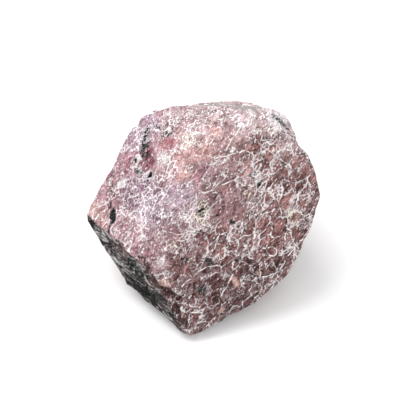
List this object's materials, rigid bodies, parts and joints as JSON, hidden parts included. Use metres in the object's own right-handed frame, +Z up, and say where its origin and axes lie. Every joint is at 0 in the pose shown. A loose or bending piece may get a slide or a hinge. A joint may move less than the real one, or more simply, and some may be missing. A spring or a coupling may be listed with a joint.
{
  "type": "ruby crystal",
  "caption": "Rough opaque ruby crystal with one broad basal face, bevelled edges and a mica-coated wall, resting on a flat foot.",
  "frame": {"origin": "centre of the bounding box's base, on the surface that the crystal rests on", "axes": "+Z up, -Y the way the broad basal face looks, +X along the longest side, to the right seen from the front"},
  "size_m": [0.0522, 0.046, 0.0365],
  "materials": {
    "ruby": "rough brown-mauve stone with pale veins and dark mica"
  },
  "bodies": {
    "root": {"ruby_crystal": "ruby"}
  },
  "joints": []
}
